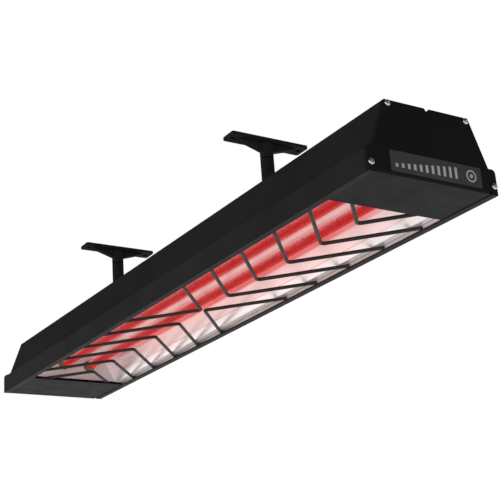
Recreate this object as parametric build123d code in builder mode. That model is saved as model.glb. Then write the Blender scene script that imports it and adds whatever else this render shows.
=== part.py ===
from build123d import *
import os
from math import atan2, cos

# Overhead infrared strip heater on two swivelling ceiling mounts.
# Millimetres. X runs along the heater, Y across it, Z up.
# The origin is the middle of the heater's bottom face.

# ---------------------------------------------------------------- driving dimensions
length = 1020.0  # over the two end caps
width = 180.0  # over the side walls
body_height = 88.0
top_width = 118.0
slope_base_width = 163.0
side_wall_height = 27.5
wall = 2.0  # thickness of the extrusion
lip_width = 9.0  # inward lip at the foot of each side wall
cap_thickness = 5.0
opening_length = 828.0  # between the two end panels
bay_middle = 12.0  # middle of the lamp bay along X, as the wiring takes a longer far end
front_panel_gap = 0.1  # an end panel butts against the front lip
rear_panel_gap = 2.8  # and leaves a groove along the rear lip

channel_mouth = 7.0  # T-slot along the top
channel_lip = 2.5
channel_room = 15.0
channel_depth = 6.0

lamp_spacing = 45.0
lamp_height = 31.0
lamp_diameter = 15.0
lamp_length = 820.0

guard_wire = 4.8
guard_level = 4.1  # height of the wires' centre line, just clear of the end panels
guard_pitch = 72.5
first_chevron = 68.8  # apex of the first chevron from the middle
chevrons_each_side = 5
arm_slope = 1.12  # run along X for each millimetre across

near_mount_x = 198.0
far_mount_x = -246.0
pivot_height = 108.0
pole_diameter = 18.0
pole_bore = 14.0
seam_height = 156.0  # where the ceiling bracket turns on the pole
ceiling_height = 182.0
ceiling_plate = (26.0, 118.0, 4.0)
ceiling_hole_spacing = 101.0
ceiling_hole_diameter = 7.0

gland_place = (-400.0, 38.0)
gland_neck = 7.9

# ---------------------------------------------------------------- derived places
half_width = width / 2
cap_plane = length / 2 - cap_thickness  # end of the extrusion
opening_half_length = opening_length / 2
lip_inside = half_width - lip_width
slope_run = (slope_base_width - top_width) / 2
slope_rise = body_height - side_wall_height
slope_wall = wall / cos(atan2(slope_run, slope_rise))
channel_floor = body_height - channel_lip - channel_depth
reflector_half_length = opening_half_length + 10.0

cap_screw_places = [(-55.0, 83.8), (55.0, 83.8), (-85.5, 10.4), (85.5, 10.4)]
screw_radius = 1.9
screw_clearance = 0.05
port_wall = 1.7

os.makedirs("parts", exist_ok=True)


def slope_at(height):
    """Outer half width of the sloped side at a height."""
    return top_width / 2 + (body_height - height) * slope_run / slope_rise


def both_sides(right_half):
    """Complete an outline given for its +Y half by its mirror image."""
    left_half = [(-across, up) for across, up in reversed(right_half)]
    return right_half + left_half


def save(piece, name, along=0.0):
    """Write a piece to its file. A piece of the lamp bay is drawn about X = 0 and moved along to it."""
    placed = Pos(along, 0, 0) * piece.part
    placed.label = name
    export_step(placed, f"parts/{name}.step")


# ---------------------------------------------------------------- housing
# One extruded trough, open below, with a T-slot along its top and round screw ports in its corners.
outer_half = [
    (half_width, 0),
    (half_width, side_wall_height),
    (slope_base_width / 2, side_wall_height),
    (top_width / 2, body_height),
]
inner_half = [
    (half_width - wall, wall),
    (half_width - wall, side_wall_height - wall),
    (slope_at(side_wall_height - wall) - slope_wall, side_wall_height - wall),
    (slope_at(body_height - wall) - slope_wall, body_height - wall),
]
channel_wall_bottom = channel_floor - wall

with BuildPart() as housing:
    with BuildSketch(Plane.YZ.offset(-cap_plane)):
        with BuildLine():
            Polyline(*both_sides(outer_half), close=True)
        make_face()
        with BuildLine():
            Polyline(*both_sides(inner_half), close=True)
        make_face(mode=Mode.SUBTRACT)
        with Locations((0, wall / 2)):
            Rectangle(2 * lip_inside, wall, mode=Mode.SUBTRACT)
        with Locations(*cap_screw_places):
            Circle(screw_radius + port_wall)
        with Locations((0, (channel_wall_bottom + body_height) / 2)):
            Rectangle(channel_room + 2 * wall, body_height - channel_wall_bottom)
        with Locations((0, channel_floor + channel_depth / 2)):
            Rectangle(channel_room, channel_depth, mode=Mode.SUBTRACT)
        with Locations((0, body_height - channel_lip / 2)):
            Rectangle(channel_mouth, channel_lip, mode=Mode.SUBTRACT)
        with Locations(*cap_screw_places):
            Circle(screw_radius + screw_clearance, mode=Mode.SUBTRACT)
    extrude(amount=2 * cap_plane)
    with Locations((*gland_place, body_height)):
        Cylinder(gland_neck + 0.2, 4 * wall, mode=Mode.SUBTRACT)
save(housing, "housing")

# ---------------------------------------------------------------- end caps
# Cast plates with the outline of the trough, square ears at the bottom corners and a notch over the T-slot.
ear_height = 31.0
ear_corner = 5.0
cap_foot = 4.2
notch_depth = 3.6
notch_floor = 1.2
cap_half = [
    (lip_inside, cap_foot),
    (lip_inside, 0),
    (half_width, 0),
    (half_width, ear_height),
    (slope_at(ear_height), ear_height),
    (top_width / 2, body_height),
    (channel_mouth / 2, body_height),
    (notch_floor, body_height - notch_depth),
]
for end_name, cap_start in (("near", cap_plane), ("far", -length / 2)):
    with BuildPart() as end_cap:
        with BuildSketch(Plane.YZ.offset(cap_start)):
            with BuildLine():
                Polyline(*both_sides(cap_half), close=True)
            make_face()
            with Locations(*cap_screw_places):
                Circle(screw_radius + screw_clearance, mode=Mode.SUBTRACT)
        extrude(amount=cap_thickness)
        ear_edges = [
            edge
            for edge in end_cap.edges().filter_by(Axis.X)
            if abs(edge.center().Y) > half_width - 0.1 and edge.center().Z > ear_height - 0.1
        ]
        fillet(ear_edges, radius=ear_corner)
    save(end_cap, f"{end_name}_end_cap")

# ---------------------------------------------------------------- cap screws
# Four pan-head screws hold each cap to the screw ports of the extrusion.
pan_head_radius = 3.8
pan_head_height = 2.3
cap_screw_grip = 22.0
for end_name, outward in (("near", 1), ("far", -1)):
    cap_face = Plane(origin=(outward * length / 2, 0, 0), x_dir=(0, outward, 0), z_dir=(outward, 0, 0))
    with BuildPart() as cap_screws:
        with BuildSketch(cap_face):
            with Locations(*cap_screw_places):
                Circle(pan_head_radius)
        extrude(amount=pan_head_height)
        fillet(cap_screws.faces().sort_by(Axis((0, 0, 0), (outward, 0, 0)))[-4:].edges(), radius=1.3)
        with BuildSketch(cap_face):
            with Locations(*cap_screw_places):
                Circle(screw_radius)
        extrude(amount=-cap_screw_grip)
    save(cap_screws, f"{end_name}_cap_screws")

# ---------------------------------------------------------------- end panels
# Pressed covers under the lamp ends, with a low lip turned up over the foot of the cap.
panel_sheet = 1.5
panel_front = front_panel_gap - lip_inside
panel_rear = lip_inside - rear_panel_gap
panel_width = panel_rear - panel_front
panel_middle = (panel_front + panel_rear) / 2
for end_name, outward in (("near", 1), ("far", -1)):
    panel_start = bay_middle + outward * opening_half_length
    panel_end = outward * length / 2
    with BuildPart() as end_panel:
        with Locations(((panel_start + panel_end) / 2, panel_middle, panel_sheet / 2)):
            Box(abs(panel_end - panel_start), panel_width, panel_sheet)
        with Locations((outward * (length / 2 - cap_thickness / 2), panel_middle, cap_foot / 2)):
            Box(cap_thickness, panel_width, cap_foot)
    save(end_panel, f"{end_name}_end_panel")

# ---------------------------------------------------------------- name badge
# A plain plate on the near cap.
badge_size = (127.0, 24.0, 1.0)
badge_centre = (3.5, 16.8)
with BuildPart() as name_badge:
    with BuildSketch(Plane.YZ.offset(length / 2)):
        with Locations(badge_centre):
            RectangleRounded(badge_size[0], badge_size[1], 1.2)
    extrude(amount=badge_size[2])
save(name_badge, "name_badge")

# ---------------------------------------------------------------- reflector
# One folded sheet of polished aluminium: flat flanges, steep lower facets, a ridge between the lamps.
reflector_sheet = 0.8
flange_level = guard_level + guard_wire / 2 + 0.6
reflector_half = [
    (lip_inside + 0.8, flange_level),
    (71.5, flange_level),
    (65.5, 17.5),
    (55.0, 36.5),
    (42.0, 50.0),
    (26.0, 57.0),
    (10.0, 56.5),
    (0, 50.0),
]
reflector_line = reflector_half + [(-across, up) for across, up in reversed(reflector_half[:-1])]
with BuildPart() as reflector:
    with BuildSketch(Plane.YZ.offset(-reflector_half_length)):
        with BuildLine():
            Polyline(*reflector_line)
        trace(line_width=reflector_sheet)
    extrude(amount=2 * reflector_half_length)
save(reflector, "reflector", along=bay_middle)

# Plates that close the ends of the reflector, with a hole for each lamp's ceramic end.
ceramic_radius = 8.6
end_plate_sheet = 1.5
end_plate_half = [(79.0, flange_level), (64.0, 44.0), (48.0, 62.0)]
lamp_ys = (-lamp_spacing / 2, lamp_spacing / 2)
lamp_spots = [(lamp_y, lamp_height) for lamp_y in lamp_ys]
for end_name, start in (("near", reflector_half_length), ("far", -reflector_half_length - end_plate_sheet)):
    with BuildPart() as reflector_end:
        with BuildSketch(Plane.YZ.offset(start)):
            with BuildLine():
                Polyline(*both_sides(end_plate_half), close=True)
            make_face()
            with Locations(*lamp_spots):
                Circle(ceramic_radius + 0.6, mode=Mode.SUBTRACT)
        extrude(amount=end_plate_sheet)
    save(reflector_end, f"{end_name}_reflector_end", along=bay_middle)

# ---------------------------------------------------------------- heat shield and reflector brackets
shield_level = 66.0
shield_sheet = 0.8
shield_half_length = 478.0
shield_line = both_sides([(68.0, 42.0), (60.0, shield_level)])
with BuildPart() as heat_shield:
    with BuildSketch(Plane.YZ.offset(-shield_half_length)):
        with BuildLine():
            Polyline(*shield_line)
        trace(line_width=shield_sheet)
    extrude(amount=2 * shield_half_length)
save(heat_shield, "heat_shield", along=bay_middle)

bracket_foot = 57.3
bracket_sheet = 1.2
bracket_width = 20.0
bracket_half_foot = 14.6
bracket_top = shield_level - (shield_sheet + bracket_sheet) / 2
bracket_line = both_sides([(bracket_half_foot, bracket_foot), (bracket_half_foot, bracket_top)])
with BuildPart() as reflector_brackets:
    for bracket_x in (-280.0, 0.0, 280.0):
        with BuildSketch(Plane.YZ.offset(bracket_x - bracket_width / 2)):
            with BuildLine():
                Polyline(*bracket_line)
            trace(line_width=bracket_sheet)
        extrude(amount=bracket_width)
save(reflector_brackets, "reflector_brackets", along=bay_middle)

# ---------------------------------------------------------------- lamps
# Each lamp is a red quartz tube, a coiled filament and a ceramic end with a flat tang at each side.
tube_wall = 1.0
filament_radius = 1.6
ceramic_length = 38.0
tang = (22.0, 14.0, 8.0)
for lamp_name, lamp_y in (("front", lamp_ys[0]), ("rear", lamp_ys[1])):
    lamp_plane = Plane(origin=(-lamp_length / 2, lamp_y, lamp_height), x_dir=(0, 1, 0), z_dir=(1, 0, 0))
    with BuildPart() as lamp_tube:
        with BuildSketch(lamp_plane):
            Circle(lamp_diameter / 2)
            Circle(lamp_diameter / 2 - tube_wall, mode=Mode.SUBTRACT)
        extrude(amount=lamp_length)
    save(lamp_tube, f"{lamp_name}_lamp_tube", along=bay_middle)

    with BuildPart() as filament:
        with BuildSketch(lamp_plane):
            Circle(filament_radius)
        extrude(amount=lamp_length)
    save(filament, f"{lamp_name}_filament", along=bay_middle)

    with BuildPart() as lamp_ends:
        for outward in (-1, 1):
            ceramic_middle = outward * (lamp_length / 2 + ceramic_length / 2)
            tang_middle = outward * (lamp_length / 2 + ceramic_length + tang[0] / 2)
            with Locations(Location((ceramic_middle, lamp_y, lamp_height), (0, 90, 0))):
                Cylinder(ceramic_radius, ceramic_length)
            with Locations((tang_middle, lamp_y, lamp_height)):
                Box(*tang)
    save(lamp_ends, f"{lamp_name}_lamp_ends", along=bay_middle)

# Holder plates hang from the heat shield and take the tangs of both lamps.
holder_x = lamp_length / 2 + ceramic_length + 4.0
holder_sheet = 2.0
holder_flange = 16.0
holder_bottom = 14.0
holder_width = 80.0
tang_clearance = 0.4
holder_top = shield_level - shield_sheet / 2
for end_name, outward in (("near", 1), ("far", -1)):
    with BuildPart() as lamp_holder:
        with Locations((outward * (holder_x + holder_sheet / 2), 0, (holder_bottom + holder_top) / 2)):
            Box(holder_sheet, holder_width, holder_top - holder_bottom)
        with Locations((outward * (holder_x + holder_flange / 2), 0, holder_top - holder_sheet / 2)):
            Box(holder_flange, holder_width, holder_sheet)
        with Locations(*[(outward * holder_x, lamp_y, lamp_height) for lamp_y in lamp_ys]):
            Box(4 * holder_sheet, tang[1] + tang_clearance, tang[2] + tang_clearance, mode=Mode.SUBTRACT)
    save(lamp_holder, f"{end_name}_lamp_holder", along=bay_middle)

# Spring clips straddle the tangs behind the holder plates.
clip_length = 6.0
clip_wall = 1.5
clip_x = holder_x + holder_sheet + clip_length / 2
with BuildPart() as lamp_clips:
    for outward in (-1, 1):
        for lamp_y in lamp_ys:
            with Locations((outward * clip_x, lamp_y, lamp_height)):
                Box(clip_length, tang[1] + 2 * clip_wall, tang[2] + 2 * clip_wall)
                Box(clip_length, tang[1], tang[2], mode=Mode.SUBTRACT)
save(lamp_clips, "lamp_clips", along=bay_middle)

# ---------------------------------------------------------------- guard
# Bent wires: chevrons that point to the middle from both ends, and two V wires back to back at the middle.
# Their ends are tacked to a flat rail on each side, which lies on the housing's lip.
rail_inside = lip_inside
rail_size = 4.0
tack_gap = 0.05
guard_bend = 5.0
middle_gap = 2.6
rail_half_length = 456.0


def bent_wire(points):
    """Round wire along three points with one bend."""
    with BuildPart() as wire:
        with BuildLine() as route:
            FilletPolyline(*points, radius=guard_bend)
        start_plane = Plane(origin=route.line @ 0, z_dir=route.line % 0)
        with BuildSketch(start_plane):
            Circle(guard_wire / 2)
        sweep()
        with Locations((0, 0, guard_level)):
            Box(2 * rail_half_length, 2 * (rail_inside - tack_gap), 3 * guard_wire, mode=Mode.INTERSECT)
    return wire.part


guard_routes = []
overrun = guard_wire
reach = rail_inside + overrun
for side in (-1, 1):
    for step in range(chevrons_each_side):
        apex_x = side * (first_chevron + step * guard_pitch)
        arm_x = apex_x + side * arm_slope * reach
        guard_routes.append(
            [(arm_x, -reach, guard_level), (apex_x, 0, guard_level), (arm_x, reach, guard_level)]
        )
    arm_x = arm_slope * (reach - middle_gap)
    guard_routes.append(
        [
            (-arm_x, side * reach, guard_level),
            (0, side * middle_gap, guard_level),
            (arm_x, side * reach, guard_level),
        ]
    )

guard_wires = [bent_wire(route) for route in guard_routes]
with BuildPart() as wire_guard:
    for wire in guard_wires:
        add(wire)
    for side in (-1, 1):
        with Locations((0, side * (rail_inside + rail_size / 2), wall + rail_size / 2)):
            Box(2 * rail_half_length, rail_size, rail_size)
save(wire_guard, "wire_guard", along=bay_middle)

# ---------------------------------------------------------------- wiring inside the far end
terminal_size = (22.0, 48.0, 10.0)
terminal_x = -451.0
terminal_pitch = (10.0, 12.0)
terminal_bore = (2.2, 3.0)  # radius, depth
terminal_screw = (2.1, 1.8)  # radius, height
terminal_base = shield_level + shield_sheet / 2
terminal_middle = terminal_base + terminal_size[2] / 2
with BuildPart() as terminal_block:
    with Locations((terminal_x, 0, terminal_middle)):
        Box(*terminal_size)
    chamfer(terminal_block.edges().filter_by(Axis.Y).group_by(Axis.Z)[-1], length=1.5)
    with Locations((terminal_x, 0, terminal_base + terminal_size[2])):
        with GridLocations(*terminal_pitch, 2, 4):
            Cylinder(terminal_bore[0], 2 * terminal_bore[1], mode=Mode.SUBTRACT)
save(terminal_block, "terminal_block", along=bay_middle)

with BuildPart() as terminal_screws:
    with Locations((terminal_x, 0, terminal_base + terminal_size[2] - 2.0)):
        with GridLocations(*terminal_pitch, 2, 4):
            Cylinder(*terminal_screw)
save(terminal_screws, "terminal_screws", along=bay_middle)

lead_radius = 1.6
lead_bend = 6.0
lead_level = 71.0
lead_slack = 18.0  # run past a tang before a lead turns up
entry_spacing = 1.5 * terminal_pitch[1]  # half the distance between the two long leads
cross_over = 60.0  # run over which a long lead moves in to its terminal
tang_end = lamp_length / 2 + ceramic_length + tang[0]
turn_x = tang_end + lead_slack
terminal_face = terminal_size[0] / 2
lead_routes = []
for lamp_y, entry_y in ((lamp_ys[0], -entry_spacing), (lamp_ys[1], entry_spacing)):
    lead_routes.append(
        [
            (tang_end, lamp_y, lamp_height),
            (turn_x, lamp_y, lamp_height),
            (turn_x, lamp_y, lead_level),
            (turn_x - cross_over, entry_y, lead_level),
            (terminal_x + terminal_face, entry_y, lead_level),
        ]
    )
    lead_routes.append(
        [
            (-tang_end, lamp_y, lamp_height),
            (-turn_x, lamp_y, lamp_height),
            (-turn_x, lamp_y, lead_level),
            (terminal_x - terminal_face, lamp_y, lead_level),
        ]
    )
with BuildPart() as internal_leads:
    for route_points in lead_routes:
        with BuildLine(mode=Mode.PRIVATE) as lead_route:
            FilletPolyline(*route_points, radius=lead_bend)
        with BuildSketch(Plane(origin=lead_route.line @ 0, z_dir=lead_route.line % 0)):
            Circle(lead_radius)
        sweep(path=lead_route.line)
save(internal_leads, "internal_leads", along=bay_middle)

earth_place = (-430.0, -38.0)
earth_stud_size = (2.0, 12.0)  # radius, length
earth_nut_radius = 3.6
earth_nut_height = 3.2
with BuildPart() as earth_stud:
    with Locations((*earth_place, body_height - wall - earth_stud_size[1] / 2)):
        Cylinder(*earth_stud_size)
    with BuildSketch(Plane.XY.offset(body_height - wall - 8.0)):
        with Locations(earth_place):
            RegularPolygon(earth_nut_radius, 6)
            Circle(earth_stud_size[0], mode=Mode.SUBTRACT)
    extrude(amount=earth_nut_height)
save(earth_stud, "earth_stud")

# ---------------------------------------------------------------- cable gland
# Where the supply cable enters through the top, behind the mount.
cable_radius = 4.0
gland_bore = 6.5
gland_flange = 4.0
gland_flange_radius = 12.0
gland_collar = 8.5
gland_collar_height = 8.0
gland_neck_length = 9.0
with BuildPart() as gland_body:
    with BuildSketch(Plane.XY.offset(body_height)):
        with Locations(gland_place):
            RegularPolygon(gland_flange_radius, 6)
    extrude(amount=gland_flange)
    with Locations((*gland_place, body_height - gland_neck_length / 2)):
        Cylinder(gland_neck, gland_neck_length)
    with Locations((*gland_place, body_height + gland_flange + gland_collar_height / 2)):
        Cylinder(gland_collar, gland_collar_height)
    with Locations((*gland_place, body_height)):
        Cylinder(gland_bore, 40, mode=Mode.SUBTRACT)
save(gland_body, "gland_body")

locknut_height = 3.5
with BuildPart() as gland_locknut:
    with BuildSketch(Plane.XY.offset(body_height - wall)):
        with Locations(gland_place):
            RegularPolygon(gland_flange_radius, 6)
            Circle(gland_neck, mode=Mode.SUBTRACT)
    extrude(amount=-locknut_height)
save(gland_locknut, "gland_locknut")

gland_cap_base = body_height + gland_flange + 0.4
gland_hex_height = 9.0
gland_dome_radius = 9.8
gland_dome_height = 7.0
gland_dome_taper = 18.0
with BuildPart() as gland_cap:
    with BuildSketch(Plane.XY.offset(gland_cap_base)):
        with Locations(gland_place):
            RegularPolygon(gland_flange_radius - 0.5, 6)
    extrude(amount=gland_hex_height)
    with BuildSketch(Plane.XY.offset(gland_cap_base + gland_hex_height)):
        with Locations(gland_place):
            Circle(gland_dome_radius)
    extrude(amount=gland_dome_height, taper=gland_dome_taper)
    with Locations((*gland_place, gland_cap_base + gland_hex_height / 2)):
        Cylinder(gland_collar + 0.05, gland_hex_height, mode=Mode.SUBTRACT)
    with Locations((*gland_place, gland_cap_base + gland_hex_height)):
        Cylinder(gland_bore - 0.05, 40, mode=Mode.SUBTRACT)
save(gland_cap, "gland_cap")

seal_length = 12.0
with BuildPart() as gland_seal:
    with Locations((*gland_place, gland_cap_base + gland_hex_height)):
        Cylinder(gland_bore - 0.1, seal_length)
        Cylinder(cable_radius, seal_length, mode=Mode.SUBTRACT)
save(gland_seal, "gland_seal")

# ---------------------------------------------------------------- ceiling mounts
# Each mount is a foot clamped in the T-slot, a pole that tilts on the foot's bolt,
# and a T-shaped ceiling bracket that turns on the pole.
slide_clearance = 0.1
turning_clearance = 0.05
foot_size = (44.0, 34.0, 4.0)
foot_base = body_height + slide_clearance
foot_top = foot_base + foot_size[2]
foot_screw_spacing = 30.0
foot_screw_radius = 2.9
foot_corner = 4.0
foot_screw_head = (4.6, 3.6)  # radius, height
hex_socket = (2.6, 2.2)  # radius over corners, depth
nut_size = (44.0, 14.4, 5.2)
nut_middle = body_height - channel_lip - slide_clearance - nut_size[2] / 2
ear_thickness = 4.0
ear_radius = 11.0
lug_half = 4.9
ear_inside = lug_half + slide_clearance
bolt_radius = 3.0
bolt_head_height = 4.0
nut_height = 5.0
nut_radius = 5.7  # over the corners, the same for the bolt's head
thread_end = 1.5  # bolt that shows past the nut
washer_radius = 6.5
washer_thickness = 1.2
lug_radius = 9.0
tube_start = pivot_height + 13.0
plug_length = 14.0
spigot_length = 15.0
seam_washer = 1.4
washer_set_back = 1.2
boss_base = seam_height + seam_washer + 0.1
plate_base = ceiling_height - ceiling_plate[2]
plate_corner = 3.0
gusset_half = 45.0
gusset_foot = 165.5
gusset_thickness = 9.0
set_screw_level = seam_height - 2.4
set_screw_radius = 1.75
set_screw_length = 1.2
set_screw_angle = -45.0  # turned from +X about the pole

for mount_name, mount_x in (("near", near_mount_x), ("far", far_mount_x)):
    screw_xs = (mount_x - foot_screw_spacing / 2, mount_x + foot_screw_spacing / 2)
    ear_outside = ear_inside + ear_thickness

    with BuildPart() as channel_nut:
        with Locations((mount_x, 0, nut_middle)):
            Box(*nut_size)
        with Locations(*[(screw_x, 0, nut_middle) for screw_x in screw_xs]):
            Cylinder(foot_screw_radius, 2 * nut_size[2], mode=Mode.SUBTRACT)
    save(channel_nut, f"{mount_name}_channel_nut")

    with BuildPart() as foot_bracket:
        with Locations((mount_x, 0, foot_base + foot_size[2] / 2)):
            Box(*foot_size)
        fillet(foot_bracket.edges().filter_by(Axis.Z), radius=foot_corner)
        for ear_start in (mount_x - ear_outside, mount_x + ear_inside):
            with BuildSketch(Plane.YZ.offset(ear_start)):
                with Locations((0, (foot_top + pivot_height) / 2)):
                    Rectangle(2 * ear_radius, pivot_height - foot_top)
                with Locations((0, pivot_height)):
                    Circle(ear_radius)
            extrude(amount=ear_thickness)
        with Locations(Location((mount_x, 0, pivot_height), (0, 90, 0))):
            Cylinder(bolt_radius, 40, mode=Mode.SUBTRACT)
        with Locations(*[(screw_x, 0, foot_base) for screw_x in screw_xs]):
            Cylinder(foot_screw_radius + 0.3, 20, mode=Mode.SUBTRACT)
    save(foot_bracket, f"{mount_name}_foot_bracket")

    screw_bottom = nut_middle - nut_size[2] / 2
    with BuildPart() as foot_screws:
        with Locations(*[(screw_x, 0, (screw_bottom + foot_top) / 2) for screw_x in screw_xs]):
            Cylinder(foot_screw_radius, foot_top - screw_bottom)
        with Locations(*[(screw_x, 0, foot_top + foot_screw_head[1] / 2) for screw_x in screw_xs]):
            Cylinder(*foot_screw_head)
        with BuildSketch(Plane.XY.offset(foot_top + foot_screw_head[1])):
            with Locations(*[(screw_x, 0) for screw_x in screw_xs]):
                RegularPolygon(hex_socket[0], 6)
        extrude(amount=-hex_socket[1], mode=Mode.SUBTRACT)
    save(foot_screws, f"{mount_name}_foot_screws")

    head_start = mount_x - ear_outside - washer_thickness
    nut_start = mount_x + ear_outside + washer_thickness
    with BuildPart() as pivot_bolt:
        with BuildSketch(Plane.YZ.offset(head_start)):
            with Locations((0, pivot_height)):
                Circle(bolt_radius)
        extrude(amount=nut_start + nut_height + thread_end - head_start)
        with BuildSketch(Plane.YZ.offset(head_start)):
            with Locations((0, pivot_height)):
                RegularPolygon(nut_radius, 6)
        extrude(amount=-bolt_head_height)
    save(pivot_bolt, f"{mount_name}_pivot_bolt")

    with BuildPart() as pivot_nut:
        with BuildSketch(Plane.YZ.offset(nut_start)):
            with Locations((0, pivot_height)):
                RegularPolygon(nut_radius, 6)
                Circle(bolt_radius, mode=Mode.SUBTRACT)
        extrude(amount=nut_height)
    save(pivot_nut, f"{mount_name}_pivot_nut")

    with BuildPart() as pivot_washers:
        for washer_start in (head_start, mount_x + ear_outside):
            with BuildSketch(Plane.YZ.offset(washer_start)):
                with Locations((0, pivot_height)):
                    Circle(washer_radius)
                    Circle(bolt_radius, mode=Mode.SUBTRACT)
            extrude(amount=washer_thickness)
    save(pivot_washers, f"{mount_name}_pivot_washers")

    with BuildPart() as pole_knuckle:
        with BuildSketch(Plane.YZ.offset(mount_x - lug_half)):
            with Locations((0, pivot_height)):
                Circle(lug_radius)
            with Locations((0, (pivot_height + tube_start) / 2)):
                Rectangle(1.6 * lug_radius, tube_start - pivot_height)
        extrude(amount=2 * lug_half)
        with Locations((mount_x, 0, tube_start + plug_length / 2)):
            Cylinder(pole_bore / 2, plug_length)
        with Locations(Location((mount_x, 0, pivot_height), (0, 90, 0))):
            Cylinder(bolt_radius + turning_clearance, 40, mode=Mode.SUBTRACT)
    save(pole_knuckle, f"{mount_name}_pole_knuckle")

    set_screw_place = Location((mount_x, 0, set_screw_level), (0, 0, set_screw_angle)) * Rot(0, 90, 0)
    with BuildPart() as pole_tube:
        with BuildSketch(Plane.XY.offset(tube_start)):
            with Locations((mount_x, 0)):
                Circle(pole_diameter / 2)
                Circle(pole_bore / 2, mode=Mode.SUBTRACT)
        extrude(amount=seam_height - tube_start)
        with Locations(set_screw_place * Location((0, 0, pole_diameter / 2))):
            Cylinder(set_screw_radius, pole_diameter - pole_bore + 1, mode=Mode.SUBTRACT)
    save(pole_tube, f"{mount_name}_pole_tube")

    with BuildPart() as set_screw:
        with Locations(set_screw_place * Location((0, 0, (pole_bore + set_screw_length) / 2 + 0.05))):
            Cylinder(set_screw_radius, set_screw_length)
    save(set_screw, f"{mount_name}_set_screw")

    with BuildPart() as swivel_washer:
        with Locations((mount_x, 0, seam_height + seam_washer / 2)):
            Cylinder(pole_diameter / 2 - washer_set_back, seam_washer)
            Cylinder(pole_bore / 2 + 0.1, seam_washer, mode=Mode.SUBTRACT)
    save(swivel_washer, f"{mount_name}_swivel_washer")

    with BuildPart() as ceiling_bracket:
        with Locations((mount_x, 0, plate_base + ceiling_plate[2] / 2)):
            Box(*ceiling_plate)
        fillet(ceiling_bracket.edges().filter_by(Axis.Z), radius=plate_corner)
        with BuildSketch(Plane.YZ.offset(mount_x - gusset_thickness / 2)):
            with BuildLine():
                Polyline(
                    *both_sides([(pole_diameter / 4, gusset_foot), (gusset_half, plate_base)]), close=True
                )
            make_face()
        extrude(amount=gusset_thickness)
        with Locations((mount_x, 0, (boss_base + plate_base) / 2)):
            Cylinder(pole_diameter / 2, plate_base - boss_base)
        with Locations((mount_x, 0, boss_base - spigot_length / 2)):
            Cylinder(pole_bore / 2 - turning_clearance, spigot_length)
        hole_ys = (-ceiling_hole_spacing / 2, ceiling_hole_spacing / 2)
        with Locations(*[(mount_x, hole_y, plate_base) for hole_y in hole_ys]):
            Cylinder(ceiling_hole_diameter / 2, 20, mode=Mode.SUBTRACT)
    save(ceiling_bracket, f"{mount_name}_ceiling_bracket")
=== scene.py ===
import math

import bmesh
import bpy
from mathutils import Matrix, Quaternion, Vector


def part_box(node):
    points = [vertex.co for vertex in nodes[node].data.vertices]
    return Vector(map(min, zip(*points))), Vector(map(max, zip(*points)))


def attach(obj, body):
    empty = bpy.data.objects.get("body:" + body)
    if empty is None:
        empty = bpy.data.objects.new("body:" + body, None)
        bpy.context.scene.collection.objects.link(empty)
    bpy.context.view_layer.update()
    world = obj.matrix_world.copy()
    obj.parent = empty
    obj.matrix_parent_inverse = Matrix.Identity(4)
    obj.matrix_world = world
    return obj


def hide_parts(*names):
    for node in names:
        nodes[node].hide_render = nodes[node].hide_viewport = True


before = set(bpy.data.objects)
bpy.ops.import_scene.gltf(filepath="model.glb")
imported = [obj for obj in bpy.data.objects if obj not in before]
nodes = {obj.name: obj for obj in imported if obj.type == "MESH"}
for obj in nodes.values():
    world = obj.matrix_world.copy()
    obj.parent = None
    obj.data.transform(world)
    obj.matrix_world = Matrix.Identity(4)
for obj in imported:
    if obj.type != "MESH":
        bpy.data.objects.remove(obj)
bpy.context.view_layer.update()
scene = bpy.context.scene


# ------------------------------------------------------------------ studio
# A pale floor at the height a person stands on under the heater, a white backdrop
# and broad soft lights. The camera stands beside the badge end and looks up.
floor_level = -2.7
floor_reach = 7.0
camera_place = Vector((1.3815, -0.815, -0.478))
camera_aim = Vector((0.142, 0.0, 0.0492))
camera_roll = math.radians(-4.05)
camera_lens = 85.91
camera_sensor = 36.0
fill_from_below = 1.0
fill_from_above = 0.08
fill_from_far_end = 1.0
fill_from_near_end = 0.7
soft_lights = {  # place, aim, size, power
    "side_light": ((0.9, -3.0, -0.5), (0.2, 0, 0.03), 2.4, 20),
    "under_light": ((0.6, 0.3, -2.2), (0, 0, 0), 2.6, 6),
    "top_light": ((-0.4, 0.6, 2.8), (0, 0, 0), 2.0, 10),
}


def add_node(tree, kind, inputs=None, **settings):
    """Add a node to a tree. An input given as a socket is linked, any other value is set."""
    node = tree.nodes.new(kind)
    for key, value in settings.items():
        setattr(node, key, value)
    for key, value in (inputs or {}).items():
        named = [socket for socket in node.inputs if socket.name == key and socket.enabled]
        target = named[0] if named else node.inputs[key]
        if isinstance(value, bpy.types.NodeSocket):
            tree.links.new(value, target)
        else:
            target.default_value = value
    return node


def result_of(node):
    """The one output of a node that its settings leave switched on."""
    return next(socket for socket in node.outputs if socket.enabled)


def new_material(name, **shader_values):
    """A material with a Principled shader whose constant values are set on its own sockets."""
    material = bpy.data.materials.new(name)
    material.use_nodes = True
    shader = material.node_tree.nodes["Principled BSDF"]
    for key, value in shader_values.items():
        shader.inputs[key.replace("_", " ")].default_value = value
    return material, material.node_tree, shader


def between(tree, value, low, high, start=0.3, end=0.7):
    """Map a value that runs from start to end to a range, and hold it there past both."""
    return add_node(
        tree,
        "ShaderNodeMapRange",
        {"Value": value, "From Min": start, "From Max": end, "To Min": low, "To Max": high},
    ).outputs[0]


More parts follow.
